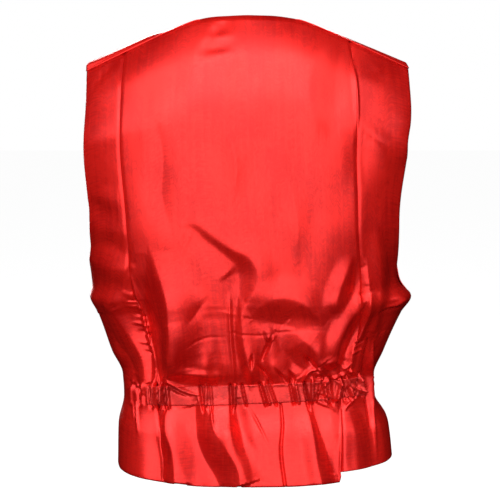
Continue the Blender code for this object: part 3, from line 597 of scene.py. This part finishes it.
def front_grid(side, sizes, columns=72, upper_rows=118):
    """One front's outer points, from its outer edge to its centre edge or neckline."""
    reach_name = "left" if side > 0 else "right"
    names = list(BACK_STATIONS)[:UNDERARM + 1]
    rows = []
    for level in back_levels():
        if level > column("level")[UNDERARM] + 1e-6:
            break
        reach, square = back_size(reach_name, level), back_size("square", level)
        depth = monotone(column("level")[:len(names)], [FRONT_DEPTHS[name] for name in names], level)
        across = -edge_crowded(LAP, -reach, 160)[::-1]
        height = level - back_size("share", level) * shoulder_fall(side * across)
        rows.append(even_points(np.stack([side * across, -section(across, reach, depth, square), height],
                                         axis=-1), columns))
    shares = (reach_share(reach_name, UNDERARM), 1.0, 1.0, reach_share(reach_name, -1))
    for place in np.linspace(0.0, 1.0, upper_rows + 1)[1:]:
        size = front_row(place)
        reach = size["reach"] * monotone(SHARE_PLACES, shares, place)
        half = half_width(reach, size["cut"], size["square"])
        across = -edge_crowded(-size["inner"], -reach, 160)[::-1]
        height = size["level"] - size["share"] * shoulder_fall(side * across)
        depth = -section(across, half, size["depth"], size["square"])
        rows.append(even_points(np.stack([side * across, depth, height], axis=-1), columns))
    smooth = np.array(rows)
    away = grid_normals(smooth, -side)
    across, height = smooth[..., 0], smooth[..., 2]
    lift = front_lift(across, height, side, sizes.crease_scale)
    lift = lift + sizes.ease * slow_waves(across, height, 11 if side > 0 else 17)
    lift = (lift * smooth_step(0.0, EDGE_FADE, np.abs(smooth[..., 1]))
            * smooth_step(0.0, EDGE_FADE, -smooth[..., 1]))
    if side > 0:
        forward = np.linalg.norm(smooth - smooth[-1:], axis=-1)
        lift = lift + (SHOULDER_RISE * smooth_step(0.088, 0.125, across)
                       * smooth_step(0.0, 0.008, forward) * smooth_step(0.060, 0.020, forward))
    if side < 0:
        sink = smooth_step(-LAP - LAP_EASE, -LAP, across) * (LAP_WALL + LAP_GAP)
        lift = lift - sink
    return smooth + away * lift[..., None], away


def cloth_lengths(points):
    """Each point's distance across and up the cloth, in metres, for its weave."""
    across = np.linalg.norm(np.diff(points, axis=1), axis=-1)
    up = np.linalg.norm(np.diff(points, axis=0), axis=-1)
    u = np.concatenate([np.zeros((points.shape[0], 1)), np.cumsum(across, axis=1)], axis=1)
    v = np.concatenate([np.zeros((1, points.shape[1])), np.cumsum(up, axis=0)], axis=0)
    middle = u.shape[1] // 2
    return u - u[:, middle:middle + 1], v


def rolled_edges(points, away, sides, roll=0.0009):
    """Turns the last few points at each finished edge inwards, as a bagged-out edge rolls."""
    points = points.copy()
    for side in sides:
        for step, share in ((0, 1.0), (1, 0.45), (2, 0.12)):
            row = {"foot": step, "top": -1 - step}.get(side)
            col = {"first": step, "last": -1 - step}.get(side)
            if row is not None:
                points[row] -= away[row] * roll * share
            else:
                points[:, col] -= away[:, col] * roll * share
    return points


def hem_raised(points, rise):
    """The grid drawn up its own surface at the hem by one height a column, fading out at the casing."""
    levels = back_levels()
    casing = int(np.argmin(np.abs(levels - column("level")[2])))
    rows, columns = points.shape[:2]
    places = np.repeat(np.arange(rows, dtype=float)[:, None], columns, axis=1)
    places[:casing] += rise / (levels[1] - levels[0]) * (1.0 - places[:casing] / casing)
    below = np.clip(places.astype(int), 0, rows - 2)
    part = (places - below)[..., None]
    across = np.arange(columns)[None, :]
    return points[below, across] * (1.0 - part) + points[below + 1, across] * part


# Meshes

def linked_object(name, mesh, material):
    data = bpy.data.meshes.new(name)
    mesh.to_mesh(data)
    mesh.free()
    piece = bpy.data.objects.new(name, data)
    bpy.context.scene.collection.objects.link(piece)
    data.materials.append(material)
    return piece


def cloth_piece(name, points, outward, wall, material, lining=None):
    """A sheet of cloth: a grid whose points are moved to the given places, with a wall inwards."""
    rows, columns = points.shape[0] - 1, points.shape[1] - 1
    mesh = bmesh.new()
    bmesh.ops.create_grid(mesh, x_segments=columns, y_segments=rows, size=1.0)
    u, v = cloth_lengths(points)
    layer = mesh.loops.layers.uv.new("cloth")
    places = {}
    for vertex in mesh.verts:
        c = int(round((vertex.co.x + 1.0) / 2.0 * columns))
        r = int(round((vertex.co.y + 1.0) / 2.0 * rows))
        places[vertex] = (r, c)
        vertex.co = Vector(points[r, c])
    for face in mesh.faces:
        face.smooth = True
        for loop in face.loops:
            r, c = places[loop.vert]
            loop[layer].uv = (u[r, c], v[r, c])
    mesh.normal_update()
    mesh.faces.ensure_lookup_table()
    middle = mesh.faces[len(mesh.faces) // 2]
    r, c = places[middle.verts[0]]
    if middle.normal.dot(Vector(outward[r, c])) < 0:
        bmesh.ops.reverse_faces(mesh, faces=mesh.faces[:])
    piece = linked_object(name, mesh, material)
    if lining:
        piece.data.materials.append(lining)
    shell = piece.modifiers.new("Wall", "SOLIDIFY")
    shell.thickness = wall
    shell.offset = -1.0
    shell.use_even_offset = False
    shell.use_rim = True
    shell.material_offset = 1 if lining else 0
    return piece


def joined_piece(name, mesh, material, smooth=True):
    for face in mesh.faces:
        face.smooth = smooth
    return linked_object(name, mesh, material)


def add_stitch(mesh, start, end, away, radius=0.00022, lift=0.00012):
    """One short stitch of thread lying on the cloth: a thin spindle that dips at both ends."""
    run = Vector(end) - Vector(start)
    middle = (Vector(start) + Vector(end)) / 2 + Vector(away) * lift
    made = bmesh.ops.create_uvsphere(mesh, u_segments=6, v_segments=5, radius=1.0)
    turn = run.to_track_quat("Z", "Y").to_matrix().to_4x4()
    scale = Matrix.Diagonal((radius, radius, run.length / 2, 1.0))
    bmesh.ops.transform(mesh, matrix=Matrix.Translation(middle) @ turn @ scale, verts=made["verts"])


# Materials

class Value:
    """A socket that takes part in ordinary arithmetic."""

    def __init__(self, shade, socket):
        self.shade, self.socket = shade, socket

    def _with(self, operation, first, second):
        node = self.shade.node("ShaderNodeMath", {"operation": operation}, {0: first, 1: second})
        return Value(self.shade, node.outputs[0])

    def __add__(self, other):
        return self._with("ADD", self, other)

    def __radd__(self, other):
        return self._with("ADD", other, self)

    def __sub__(self, other):
        return self._with("SUBTRACT", self, other)

    def __mul__(self, other):
        return self._with("MULTIPLY", self, other)


class Shade:
    """Builds one material's nodes."""

    def __init__(self, name):
        self.material = bpy.data.materials.new(name)
        self.material.use_nodes = True
        self.tree = self.material.node_tree
        self.shader = self.tree.nodes["Principled BSDF"]

    def node(self, kind, settings=None, sockets=None):
        made = self.tree.nodes.new(kind)
        for name, value in (settings or {}).items():
            setattr(made, name, value)
        for name, value in (sockets or {}).items():
            self.put(made.inputs[name], value)
        return made

    def put(self, socket, value):
        if isinstance(value, Value):
            self.tree.links.new(value.socket, socket)
        elif isinstance(value, bpy.types.NodeSocket):
            self.tree.links.new(value, socket)
        else:
            socket.default_value = value

    def noise(self, place, scale, detail=2.0, roughness=0.5):
        made = self.node("ShaderNodeTexNoise", {"noise_dimensions": "3D"},
                         {"Vector": place, "Scale": scale, "Detail": detail, "Roughness": roughness})
        return Value(self, made.outputs["Fac"])

    def stretched(self, place, scale):
        made = self.node("ShaderNodeMapping", {"vector_type": "POINT"}, {"Vector": place, "Scale": scale})
        return made.outputs["Vector"]

    def mixed(self, factor, first, second):
        made = self.node("ShaderNodeMix", {"data_type": "RGBA"}, {"Factor": factor})
        self.put(made.inputs[6], (*first, 1.0))
        self.put(made.inputs[7], (*second, 1.0))
        return made.outputs[2]

    def finish(self, **sockets):
        for name, value in sockets.items():
            self.put(self.shader.inputs[name.replace("_", " ")], value)
        return self.material


def satin(name, lit, deep, roughness, metallic, turned=False):
    """Satin with its threads, slubs and faint unevenness; turned has its long threads run across."""
    shade = Shade(name)
    cloth = shade.node("ShaderNodeUVMap", {"uv_map": "cloth"}).outputs["UV"]
    long_way, cross_way, slub_way = (640.0, 150.0, 1.0), (150.0, 640.0, 1.0), (70.0, 420.0, 1.0)
    if turned:
        long_way, cross_way, slub_way = cross_way, long_way, (420.0, 70.0, 1.0)
    warp = shade.noise(shade.stretched(cloth, long_way), 1.0, 3.0)
    weft = shade.noise(shade.stretched(cloth, cross_way), 1.0, 3.0)
    slub = shade.noise(shade.stretched(cloth, slub_way), 1.0, 2.0)
    streak = shade.noise(shade.stretched(cloth, (220.0, 9.0, 1.0)), 1.0, 3.0)
    cloud = shade.noise(cloth, 14.0, 3.0)
    weave = warp * 0.5 + weft * 0.5
    depth = weave * 1.6 + slub * 1.8 + streak * 1.6 + cloud * 3.4 - 3.75
    colour = shade.mixed(depth, lit, deep)
    rumple = shade.noise(cloth, 42.0, 3.0)
    height = weave * 0.1 + slub * 0.12 + streak * 0.1 + rumple * 1.6
    bump = shade.node("ShaderNodeBump", {}, {"Strength": 0.1, "Distance": 0.0011, "Height": height})
    return shade.finish(Base_Color=colour, Roughness=roughness + (weave - 0.5) * 0.5,
                        Metallic=metallic, IOR=1.5, Anisotropic=0.3, Normal=bump.outputs["Normal"])


def plain_finish(name, colour, roughness, grain, coat=0.0):
    """A hard or twisted finish with fine unevenness."""
    shade = Shade(name)
    place = shade.node("ShaderNodeTexCoord").outputs["Object"]
    speck = shade.noise(place, grain, 3.0)
    tone = shade.mixed(speck, colour, tuple(0.6 * c for c in colour))
    bump = shade.node("ShaderNodeBump", {}, {"Strength": 0.1, "Distance": 0.0003, "Height": speck})
    return shade.finish(Base_Color=tone, Roughness=roughness + speck * 0.12, Coat_Weight=coat,
                        Normal=bump.outputs["Normal"])


def finish_named(name):
    """The material of that name, made the first time it is asked for."""
    ready = bpy.data.materials.get(name)
    if ready:
        return ready
    colours = bpy.context.scene.vest_colours
    if name == "red satin":
        return satin(name, colours.satin, colours.satin_deep, 0.36, 0.50)
    if name == "red satin inside":
        return satin(name, colours.satin_deep, tuple(0.8 * c for c in colours.satin_deep), 0.55, 0.15)
    if name == "red casing":
        # The casing: the satin turned across, in reds darkened to paint the weaker sheen of its turned weave
        return satin(name, colours.strip, colours.strip_deep, 0.42, 0.50, turned=True)
    if name == "red thread":
        return plain_finish(name, colours.thread, 0.55, 4000.0)
    return plain_finish(name, colours.button, 0.28, 320.0, coat=0.4)


# Operators: one for each piece or group of like pieces

class VEST_OT_back_panels(bpy.types.Operator):
    """Makes the centre back panel and the two side back panels"""
    bl_idname = "vest.back_panels"
    bl_label = "Back panels"

    def execute(self, context):
        sizes = context.scene.vest_sizes
        points, first, second = back_grid(sizes)
        away = grid_normals(points, 1.0)
        points = rolled_edges(points, away, ("foot", "top", "first", "last"))
        cuts = {"back_side_left": (0, first), "back_centre": (first, second),
                "back_side_right": (second, points.shape[1] - 1)}
        for node, (start, stop) in cuts.items():
            part = points[:, start:stop + 1]
            if node == "back_side_right":
                part = hem_raised(part, np.full(part.shape[1], HEM_STEP))
            piece = cloth_piece(node + "_cloth", part, away[:, start:stop + 1], sizes.wall,
                                finish_named("red satin"), finish_named("red satin inside"))
            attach(piece, "root")
            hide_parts(node)
            "gathered" if node == "back_centre" else "hung"
        return {"FINISHED"}


class VEST_OT_casing(bpy.types.Operator):
    """Makes the gathered casing strip and the stitches along its two edges"""
    bl_idname = "vest.casing"
    bl_label = "Waist casing"

    def execute(self, context):
        sizes = context.scene.vest_sizes
        rows, columns = 22, 250
        across = np.linspace(CASING_LEFT, CASING_RIGHT, columns + 1)[None, :]
        share = np.linspace(-1.0, 1.0, rows + 1)[:, None]
        level = CASING_LEVEL - CASING_TILT * across + CASING_HALF * share
        smooth = back_point(np.broadcast_to(across, level.shape), level)
        lift = back_lift(smooth[..., 0], smooth[..., 2], sizes.crease_scale)
        lift = lift + CASING_CLEAR + CASING_CROWN * np.sqrt(np.clip(1.0 - share ** 2, 0.0, 1.0))
        points = smooth + grid_normals(smooth, 1.0) * lift[..., None]
        away = grid_normals(points, 1.0)
        piece = cloth_piece("waist_casing_cloth", points, away, sizes.strip_wall, finish_named("red casing"))
        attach(piece, "root")
        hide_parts("waist_casing")
        mesh = bmesh.new()
        for row in (1, rows - 1):
            line = points[row]
            travel = np.concatenate([[0.0], np.cumsum(np.linalg.norm(np.diff(line, axis=0), axis=1))])
            for start in np.arange(0.001, travel[-1] - 0.0025, STITCH_PITCH):
                ends = [[np.interp(start + reach, travel, line[:, k]) for k in range(3)]
                        for reach in (0.0, STITCH_LENGTH)]
                place = int(np.searchsorted(travel, start))
                add_stitch(mesh, ends[0], ends[1], away[row, place])
        stitches = joined_piece("casing_stitches", mesh, finish_named("red thread"))
        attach(stitches, "root")
        return {"FINISHED"}


class VEST_OT_fronts(bpy.types.Operator):
    """Makes the two fronts, which lap at the centre and pass over the shoulders"""
    bl_idname = "vest.fronts"
    bl_label = "Fronts"

    def execute(self, context):
        sizes = context.scene.vest_sizes
        for node, side in (("front_left", 1.0), ("front_right", -1.0)):
            points, away = front_grid(side, sizes)
            if side < 0:
                points = hem_raised(points, HEM_STEP * np.linspace(1.0, 0.0, points.shape[1]))
            points = rolled_edges(points, away, ("foot", "last"))
            piece = cloth_piece(node + "_cloth", points, away, sizes.wall,
                                finish_named("red satin"), finish_named("red satin inside"))
            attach(piece, "root")
            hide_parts(node)
        return {"FINISHED"}


class VEST_OT_buttons(bpy.types.Operator):
    """Makes the plain buttons with their thread"""
    bl_idname = "vest.buttons"
    bl_label = "Buttons"

    def execute(self, context):
        for number in range(1, len(BUTTON_LEVELS) + 1):
            node = f"button_{number}"
            low, high = (Vector(corner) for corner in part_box(node))
            middle = (low + high) / 2
            mesh = bmesh.new()
            self.disc(mesh, BUTTON_RADIUS)
            turn = Vector((0.0, -1.0, 0.0)).to_track_quat("Z", "Y").to_matrix().to_4x4()
            place = Matrix.Translation(middle) @ turn
            bmesh.ops.transform(mesh, matrix=place, verts=mesh.verts[:])
            button = joined_piece(node + "_disc", mesh, finish_named("red button"))
            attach(button, "root")
            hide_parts(node)
            thread = bmesh.new()
            for across in (-0.0014, 0.0014):
                for row in (-0.0003, 0.0003):
                    start = place @ Vector((across + row, -0.0015, 0.0010))
                    end = place @ Vector((across + row, 0.0015, 0.0010))
                    add_stitch(thread, start, end, (0, -1, 0), radius=0.0003)
            cross = joined_piece(node + "_thread", thread, finish_named("red thread"))
            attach(cross, "root")
        return {"FINISHED"}

    def disc(self, mesh, radius):
        """A turned button: a rounded rim about a shallow dish."""
        profile = ((0.0, 0.0004), (0.45, 0.0004), (0.62, 0.0007), (0.74, 0.0015), (0.88, 0.0017),
                   (0.97, 0.0011), (1.0, 0.0), (0.94, -0.0009), (0.6, -0.0015), (0.0, -0.0015))
        verts = [mesh.verts.new((share * radius, 0.0, height)) for share, height in profile]
        edges = [mesh.edges.new(pair) for pair in zip(verts, verts[1:])]
        bmesh.ops.spin(mesh, geom=verts + edges, cent=(0, 0, 0), axis=(0, 0, 1), angle=2 * math.pi,
                       steps=40, use_merge=True)
        bmesh.ops.remove_doubles(mesh, verts=mesh.verts[:], dist=1e-6)
        bmesh.ops.recalc_face_normals(mesh, faces=mesh.faces[:])


class VEST_OT_stage(bpy.types.Operator):
    """Sets the pale floor, the soft studio lights and the camera behind the vest"""
    bl_idname = "vest.stage"
    bl_label = "Stage"

    CAMERA_PLACE = (0.0, 1.8, -0.05)
    CAMERA_TILT = math.radians(6.3)
    PHOTO_SIDE = 500
    PIXELS_PER_METRE = 794.0
    MIDDLE_COLUMN = 248.0
    FLOOR_HEIGHT = -1.35
    AIM = (0.0, 0.0, -0.22)

    # The place of each lamp in metres, the side of its square and its power in watts
    LIGHTS = {
        "key":   ((0.14, 2.30, -0.05), 2.4, 49.0),
        "high":  ((0.10, 1.50, 1.75), 1.6, 31.0),
        "left":  ((1.40, 1.40, 1.60), 2.2, 41.0),
        "right": ((-1.40, 1.40, 1.60), 2.2, 32.0),
        "front": ((0.40, -2.20, 0.20), 1.6, 60.0),
    }

    def execute(self, context):
        scene = context.scene
        scene.view_settings.view_transform = "Standard"
        self.floor(scene)
        self.lights(scene)
        self.camera(scene)
        return {"FINISHED"}

    def floor(self, scene):
        mesh = bmesh.new()
        bmesh.ops.create_grid(mesh, x_segments=4, y_segments=4, size=30.0)
        bmesh.ops.translate(mesh, vec=(0, 0, self.FLOOR_HEIGHT), verts=mesh.verts[:])
        shade = Shade("studio floor")
        pale = (*scene.vest_colours.floor, 1.0)
        material = shade.finish(Base_Color=pale, Roughness=0.9, Emission_Color=pale, Emission_Strength=1.05)
        floor = joined_piece("studio_floor", mesh, material, smooth=False)
        floor.visible_diffuse = False
        floor.visible_glossy = False
        world = bpy.data.worlds.new("studio")
        world.use_nodes = True
        backdrop = world.node_tree.nodes["Background"]
        backdrop.inputs["Color"].default_value = (1.0, 1.0, 1.0, 1.0)
        backdrop.inputs["Strength"].default_value = 1.0
        world.cycles_visibility.diffuse = False
        world.cycles_visibility.glossy = False
        scene.world = world

    def lights(self, scene):
        """A broad key behind the camera, one above it, one at each side and a soft one in front."""
        for name, (place, side, power) in self.LIGHTS.items():
            data = bpy.data.lights.new(name, "AREA")
            data.shape = "SQUARE"
            data.size = side
            data.energy = power
            light = bpy.data.objects.new(name, data)
            light.location = place
            aim = Vector(self.AIM) - Vector(place)
            light.rotation_euler = aim.to_track_quat("-Z", "Y").to_euler()
            scene.collection.objects.link(light)

    def camera(self, scene):
        data = bpy.data.cameras.new("camera")
        distance = self.CAMERA_PLACE[1] / math.cos(self.CAMERA_TILT)
        focal_pixels = self.PIXELS_PER_METRE * distance
        data.sensor_width = 36.0
        data.lens = focal_pixels / self.PHOTO_SIDE * data.sensor_width
        data.shift_x = (self.PHOTO_SIDE / 2 - self.MIDDLE_COLUMN) / self.PHOTO_SIDE
        camera = bpy.data.objects.new("camera", data)
        camera.location = self.CAMERA_PLACE
        aim = Vector((0.0, -math.cos(self.CAMERA_TILT), -math.sin(self.CAMERA_TILT)))
        camera.rotation_euler = aim.to_track_quat("-Z", "Y").to_euler()
        scene.collection.objects.link(camera)
        scene.camera = camera


class VEST_PT_panel(bpy.types.Panel):
    """The vest's pieces, sizes and colours"""
    bl_idname = "VEST_PT_panel"
    bl_label = "Vest"
    bl_space_type = "VIEW_3D"
    bl_region_type = "UI"
    bl_category = "Vest"

    def draw(self, context):
        for operator in OPERATORS:
            self.layout.operator(operator.bl_idname)
        for group in (context.scene.vest_sizes, context.scene.vest_colours):
            for name in group.__annotations__:
                self.layout.prop(group, name)


OPERATORS = (VEST_OT_back_panels, VEST_OT_casing, VEST_OT_fronts, VEST_OT_buttons, VEST_OT_stage)
CLASSES = (VestSizes, VestColours, *OPERATORS, VEST_PT_panel)


def register():
    for kind in CLASSES:
        bpy.utils.register_class(kind)
    bpy.types.Scene.vest_sizes = bpy.props.PointerProperty(type=VestSizes)
    bpy.types.Scene.vest_colours = bpy.props.PointerProperty(type=VestColours)


def unregister():
    del bpy.types.Scene.vest_sizes
    del bpy.types.Scene.vest_colours
    for kind in reversed(CLASSES):
        bpy.utils.unregister_class(kind)


def main():
    register()
    bpy.ops.vest.back_panels()
    bpy.ops.vest.casing()
    bpy.ops.vest.fronts()
    bpy.ops.vest.buttons()
    bpy.ops.vest.stage()


if __name__ == "__main__":
    main()
